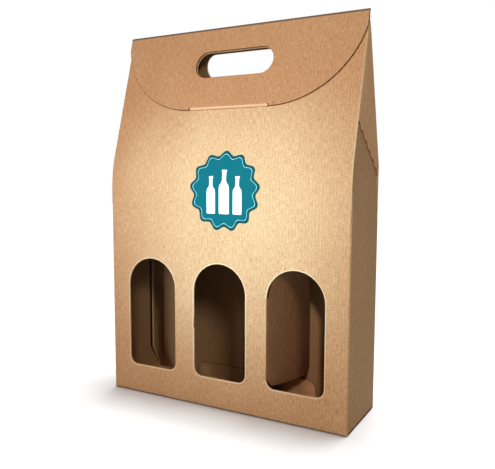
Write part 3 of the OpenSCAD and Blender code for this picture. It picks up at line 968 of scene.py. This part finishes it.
# Matt coated paper printed with solid ink: even colour, a little mottle, hardly any gloss
def printedPaper(name, colour):
    material, tree = newMaterial(name)
    sheet = addNode(tree, "ShaderNodeUVMap", uv_map="sheet")
    noise = sheetNoise(tree, sheet, ink["mottle"], ink["mottle"], ink["detail"])
    ramp = addNode(tree, "ShaderNodeValToRGB", {"Fac": noise})
    dark, light = (tuple(min(1, c * ink[k]) for c in hexColour(colour)[:3]) for k in ("dark", "light"))
    setStops(ramp, [(0.0, dark + (1.0,)), (1.0, light + (1.0,))])
    paperSurface(tree, ramp, ink["rough"], ink["gloss"], noise, ink["bump"], ink["relief"])
    return material


def bottleLoop(x, low, height):
    wide, top = height * bottle["half"], low + height
    neck, shoulder = wide * bottle["neck"], low + height * bottle["shoulder"]
    flare, foot = neck * bottle["flare"], bottle["foot"]
    half = [(x + wide - foot, low), (x + wide, low + foot), (x + wide, shoulder - bottle["bend"]),
            (x + wide * bottle["taper"], shoulder + bottle["bendTop"]),
            (x + flare, shoulder + height * bottle["neckFrom"]),
            (x + neck, shoulder + height * bottle["neckTo"]), (x + neck, top - bottle["ringLow"]),
            (x + flare, top - bottle["ring"]), (x + flare, top)]
    return half + mirror(half, x)


tealInk = printedPaper("tealPrintedPaper", seal["teal"])
rimInk = printedPaper("darkTealPrintedPaper", seal["rim"])
lineInk = printedPaper("paleTealPrintedPaper", seal["line"])
whiteInk = printedPaper("whitePrintedPaper", seal["white"])
lineEnd = seal["lineIn"] + seal["lineW"]
paperTop = seal["lift"] + seal["thick"]
layers = [("sealPaper", [lobedLoop(0)], rimInk, paperTop, seal["thick"]),
          ("sealLine", [lobedLoop(seal["lineIn"]), lobedLoop(lineEnd)], lineInk, paperTop + seal["print"],
           seal["print"]),
          ("sealField", [lobedLoop(lineEnd)], tealInk, paperTop + seal["print"], seal["print"])]
for i, (dx, height) in enumerate(seal["bottles"]):
    shape = bottleLoop(seal["x"] + dx, seal["z"] + seal["bottleFoot"], height)
    layers.append((f"sealBottle{i + 1}", [shape], whiteInk, paperTop + 2 * seal["print"], seal["print"]))
sealPieces = [boardPiece(name, loops, sealPlace(lift), [paper] * 4, step=seal["gridStep"], deep=deep)
              for name, loops, paper, lift, deep in layers]
print("seal made")

# The fluted paper that shows in the cut edges, grown along them by geometry nodes
flutes = {"pitch": board["flutePitch"] * mm, "paper": 0.22 * mm, "steps": 4, "clear": 0.03,
          "behind": 0.02, "short": 0.08, "probe": 0.1}
flutes["height"] = (thick / 2 - board["liner"] - flutes["clear"]) * mm - flutes["paper"] / 2
flutes["stand"] = (board["recess"] - flutes["short"]) * mm
fluteKraft = cutPaper("fluteKraftPaper", {"dark": "#A87C4E", "light": "#D2A876", "grain": 0.8})


def fluteTree():
    tree = bpy.data.node_groups.new("fluteRibbon", "GeometryNodeTree")
    inputs = [("Geometry", "Geometry"), ("Pitch", "Float"), ("Height", "Float"), ("Paper", "Float"),
              ("Stand", "Float"), ("Material", "Material")]
    for name, kind in inputs:
        tree.interface.new_socket(name, in_out="INPUT", socket_type="NodeSocket" + kind)
    tree.interface.new_socket("Geometry", in_out="OUTPUT", socket_type="NodeSocketGeometry")
    given = addNode(tree, "NodeGroupInput").outputs
    across, outward, run = (
        addNode(tree, "GeometryNodeInputNamedAttribute", {"Name": name}, data_type=kind)
        for name, kind in (("acrossBoard", "FLOAT_VECTOR"), ("outOfCut", "FLOAT_VECTOR"),
                           ("fluteRun", "FLOAT")))
    turns = addNode(tree, "ShaderNodeMath", {0: run, 1: given["Pitch"]}, operation="DIVIDE")
    phase = addNode(tree, "ShaderNodeMath", {0: turns, 1: 2 * math.pi}, operation="MULTIPLY")
    wave = addNode(tree, "ShaderNodeMath", {0: phase}, operation="SINE")
    rise = addNode(tree, "ShaderNodeMath", {0: wave, 1: given["Height"]}, operation="MULTIPLY")
    shift = addNode(tree, "ShaderNodeVectorMath", {0: across, "Scale": rise}, operation="SCALE")
    bent = addNode(tree, "GeometryNodeSetPosition", {"Geometry": given["Geometry"], "Offset": shift})
    band = addNode(tree, "GeometryNodeExtrudeMesh",
                   {"Mesh": bent, "Offset": across, "Offset Scale": given["Paper"]}, mode="EDGES")
    ribbon = addNode(tree, "GeometryNodeExtrudeMesh",
                     {"Mesh": band, "Offset": outward, "Offset Scale": given["Stand"], "Individual": False},
                     mode="FACES")
    real = addNode(tree, "GeometryNodeRealizeInstances", {"Geometry": ribbon})
    done = addNode(tree, "GeometryNodeSetMaterial", {"Geometry": real, "Material": given["Material"]})
    addNode(tree, "NodeGroupOutput", {"Geometry": done})
    return tree


fluteNodes = fluteTree()


# One mesh of fluted paper for the cut edges of some pieces
def fluteObject(name, pieces):
    spots, across, outward, run, edges = [], [], [], [], []
    middle, steps, probe = thick / 2 - flutes["paper"] / mm / 2, flutes["steps"], flutes["probe"]
    part = np.arange(steps)[None, :, None] / steps
    first = 0
    for loop, into, fold, place in (edge for piece in pieces for edge in cutEdges[piece.name]):
        path, inner = ((rows[:, None] * (1 - part) + np.roll(rows, -1, 0)[:, None] * part).reshape(-1, 2)
                       for rows in (loop, into))
        path = path + inner * (board["recess"] + flutes["behind"])
        outer = path - inner * probe
        depth = np.full(len(path), middle)
        base = place(path[:, 0], path[:, 1], depth)
        spots.append(base)
        across.append(unit(place(path[:, 0], path[:, 1], depth + probe) - base))
        outward.append(unit(place(outer[:, 0], outer[:, 1], depth) - base))
        run.append(path[:, 0])
        solid = np.flatnonzero(~np.repeat(fold | np.roll(fold, 1) | np.roll(fold, -1), steps))
        edges += [(first + i, first + (i + 1) % len(path)) for i in solid]
        first += len(path)
    mesh = bpy.data.meshes.new(name)
    mesh.from_pydata((np.concatenate(spots) * mm).tolist(), edges, [])
    for key, values in (("acrossBoard", across), ("outOfCut", outward)):
        mesh.attributes.new(key, "FLOAT_VECTOR", "POINT").data.foreach_set(
            "vector", np.concatenate(values).astype(np.float32).ravel())
    mesh.attributes.new("fluteRun", "FLOAT", "POINT").data.foreach_set(
        "value", (np.concatenate(run) * mm).astype(np.float32))
    ribbon = addObject(name, mesh)
    grow = ribbon.modifiers.new("flutes", "NODES")
    grow.node_group = fluteNodes
    values = {"Pitch": flutes["pitch"], "Height": flutes["height"], "Paper": flutes["paper"],
              "Stand": flutes["stand"], "Material": fluteKraft}
    for socket in fluteNodes.interface.items_tree:
        if socket.in_out == "INPUT" and socket.name in values:
            grow[socket.identifier] = values[socket.name]
    grown = bpy.data.meshes.new_from_object(ribbon.evaluated_get(bpy.context.evaluated_depsgraph_get()))
    ribbon.modifiers.remove(grow)
    ribbon.data = grown
    print("grew", name, len(grown.polygons), "faces")
    return ribbon


boxFlutes = fluteObject("boxFlutes", [wrapSheet, backSheet])
closureFlutes = fluteObject("closureFlutes", [closureFlap])
leftFlutes = fluteObject("leftDividerFlutes", [leftDivider])
rightFlutes = fluteObject("rightDividerFlutes", [rightDivider])
bottomFlutes = fluteObject("bottomFlutes", [bottomPanel])

# Bodies and replaced nodes: the box's pieces and the seal ride on the box body, and the nodes they replace
# are hidden; the flaps stay where they were built
for piece, node in ((wrapSheet, "carton"), (backSheet, "carton"), (boxFlutes, None)):
    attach(piece, "box")
    if node:
        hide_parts(node)
ridge = gable["ridgeBlend"]
folds = [(closureFlap, closureFlutes, "closure", "closure_flap", (0, ridge, ridgeZ), (0, -ridge, ridgeZ)),
         (bottomPanel, bottomFlutes, "bottom", "bottom_flap",
          (0, -halfD, bottomRollR), (0, bottomRollR - halfD, 0))]
for piece, ribbon, sign, swing, body, node in (
        (leftDivider, leftFlutes, -1, leftSwing, "left_divider", "divider_flap_left"),
        (rightDivider, rightFlutes, 1, rightSwing, "right_divider", "divider_flap_right")):
    ends = dividerPlace(sign, swing)(np.array([-thick * swing, 0.0]) * sign, np.zeros(2), np.zeros(2))
    folds.append((piece, ribbon, body, node, ends[0], ends[1]))
for piece, ribbon, body, node, start, end in folds:
    start, end = (tuple(float(c) * mm for c in point) for point in (start, end))
    for part in (piece, ribbon):
        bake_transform(part)
        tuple(start)
        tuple(end)
    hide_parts(node)
for piece in sealPieces:
    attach(piece, "box")
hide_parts("seal_sticker")

# Pale floor that keeps the shadow, and a white background that hardly lights the box
studio = {
    "floor": 6.0, "floorTone": "#F4F4F4", "floorLift": 0.2, "floorBounce": "#959595",
    "ambient": 0.035, "background": 1.0,
}
white = (1, 1, 1, 1)


# 1 for what the camera, gloss and glass show, 0 for the light that a surface passes on
def seenDirectly(tree):
    rays = addNode(tree, "ShaderNodeLightPath").outputs
    seen = rays["Is Camera Ray"]
    for kind in ("Is Glossy Ray", "Is Transmission Ray"):
        seen = addNode(tree, "ShaderNodeMath", {0: seen, 1: rays[kind]}, operation="MAXIMUM")
    return seen


floorMesh = bpy.data.meshes.new("studioFloor")
reach = studio["floor"] / 2
floorMesh.from_pydata([(-reach, -reach, 0), (reach, -reach, 0), (reach, reach, 0), (-reach, reach, 0)], [],
                      [(0, 1, 2, 3)])
floor = addObject("studioFloor", floorMesh)
# Matt paper sweep: lifted a little where it shows, greyer where it only passes light on
floorPaper, tree = newMaterial("whiteStudioPaper")
seen = seenDirectly(tree)
glow = addNode(tree, "ShaderNodeMath", {0: seen, 1: studio["floorLift"]}, operation="MULTIPLY")
matt = addNode(tree, "ShaderNodeBsdfDiffuse", {"Color": hexColour(studio["floorTone"])})
lift = addNode(tree, "ShaderNodeEmission", {"Color": white, "Strength": glow})
both = addNode(tree, "ShaderNodeAddShader", {0: matt, 1: lift})
bounce = addNode(tree, "ShaderNodeBsdfDiffuse", {"Color": hexColour(studio["floorBounce"])})
shown = addNode(tree, "ShaderNodeMixShader", {0: seen, 1: bounce, 2: both})
addNode(tree, "ShaderNodeOutputMaterial", {"Surface": shown})
floorMesh.materials.append(floorPaper)

world = bpy.data.worlds.new("studioWorld")
bpy.context.scene.world = world
world.use_nodes = True
tree = world.node_tree
tree.nodes.clear()
level = addNode(tree, "ShaderNodeMapRange", {"Value": seenDirectly(tree), "To Min": studio["ambient"],
                                             "To Max": studio["background"]})
sky = addNode(tree, "ShaderNodeBackground", {"Color": white, "Strength": level})
addNode(tree, "ShaderNodeOutputWorld", {"Surface": sky})


# A soft lamp aimed at a point, sizes and places in metres, that lights only the pieces it names
def softLamp(name, look):
    lamp = bpy.data.lights.new(name, "SPOT" if "cone" in look else "SUN" if "wide" in look else "AREA")
    if "wide" in look:
        lamp.angle = math.radians(look["wide"])
    elif "cone" in look:
        lamp.spot_size, lamp.spot_blend = math.radians(look["cone"]), 1.0
        lamp.shadow_soft_size = look["size"] / 2
    else:
        lamp.shape = "RECTANGLE"
        lamp.size = lamp.size_y = look["size"]
    lamp.energy = look["watts"]
    lamp.color = hexColour(look["colour"])[:3]
    holder = addObject(name, lamp)
    holder.location = look["at"]
    aim = Vector(look["aim"]) - Vector(look["at"])
    holder.rotation_mode = "QUATERNION"
    holder.rotation_quaternion = aim.to_track_quat("-Z", "Y")
    holder.visible_camera = False
    lit = bpy.data.collections.new(name + "Lit")
    for piece in look["lights"]:
        lit.objects.link(piece)
    holder.light_linking.receiver_collection = lit


outside = [wrapSheet, closureFlap, boxFlutes, closureFlutes] + sealPieces
dividers = [leftDivider, rightDivider, leftFlutes, rightFlutes]
inside = [backSheet, bottomPanel, bottomFlutes]
lamps = {
    "keySoftbox": {"size": 0.3, "watts": 6.7, "colour": "#FFFDEE", "lights": outside,
                   "at": (0.65, -1.19, 0.986), "aim": (0, 0, 0.14)},
    "sideCard": {"size": 0.2, "watts": 0.05, "colour": "#FFFFFF", "lights": outside,
                 "at": (0.36, -0.06, 0.02), "aim": (0.132, 0, 0.05)},
    "baySoftbox": {"size": 0.3, "watts": 9.4, "colour": "#FFFAF0", "lights": inside,
                   "at": (0.934, -0.983, 0.986), "aim": (0, 0, 0.14)},
    "dividerSoftbox": {"size": 0.24, "watts": 1.7, "colour": "#FFD6CA", "lights": dividers,
                       "at": (1.0, -0.9, 0.7), "aim": (0, 0, 0.14)},
    "frontSoftbox": {"size": 0.22, "watts": 0.93, "colour": "#FFECF0", "lights": outside,
                     "at": (-0.01, -0.40, 0.28), "aim": (0.0, -0.04, 0.25)},
    "frontSpot": {"size": 0.1, "cone": 19.4, "watts": 47.0, "colour": "#ACE4FF",
                  "lights": [wrapSheet, boxFlutes] + sealPieces,
                  "at": (0.06, -0.95, 0.4), "aim": (0.012, -0.04, 0.19)},
    "baySpot": {"size": 0.05, "cone": 14.0, "watts": 9.2, "colour": "#FFF0E4", "lights": inside,
                "at": (0.363, -0.6, 0.42), "aim": (0.07, 0.038, 0.06)},
    "bayCard": {"size": 0.03, "watts": 0.05, "colour": "#FFE4D6", "lights": [bottomPanel],
                "at": (0.085, -0.01, 0.09), "aim": (0.08, 0.02, 0)},
    "backSoftbox": {"size": 0.6, "watts": 18.0, "colour": "#FFF8F0", "lights": inside + outside,
                    "at": (-0.75, 1.2, 0.75), "aim": (0, 0, 0.18)},
    "overheadSky": {"wide": 22.0, "watts": 3.2, "colour": "#FFFFFF", "lights": [floor],
                    "at": (0.05, 0.25, 1.7), "aim": (0, 0, 0)},
}
for name, look in lamps.items():
    softLamp(name, look)

# Camera at the photograph's place: millimetres and degrees, for a frame of 495 by 469 pixels
shot = {
    "at": (295.7, -525.6, 231.0), "yaw": 28.52, "pitch": 5.78, "roll": -0.19,
    "focalPx": 597.2, "widthPx": 495.0, "sensor": 36.0, "nearest": 0.01, "farthest": 50,
}
lens = bpy.data.cameras.new("photoCamera")
lens.sensor_width = shot["sensor"]
lens.lens = lens.sensor_width * shot["focalPx"] / shot["widthPx"]
lens.clip_start, lens.clip_end = shot["nearest"], shot["farthest"]
camera = addObject("photoCamera", lens)
camera.location = Vector(shot["at"]) * mm
yaw, pitch, roll = (math.radians(shot[k]) for k in ("yaw", "pitch", "roll"))
ahead = Vector((-math.sin(yaw) * math.cos(pitch), math.cos(yaw) * math.cos(pitch), -math.sin(pitch)))
camera.rotation_mode = "QUATERNION"
camera.rotation_quaternion = Quaternion(ahead, roll) @ ahead.to_track_quat("-Z", "Y")
bpy.context.scene.camera = camera
bpy.context.scene.view_settings.view_transform = "Standard"
print("light and camera set")
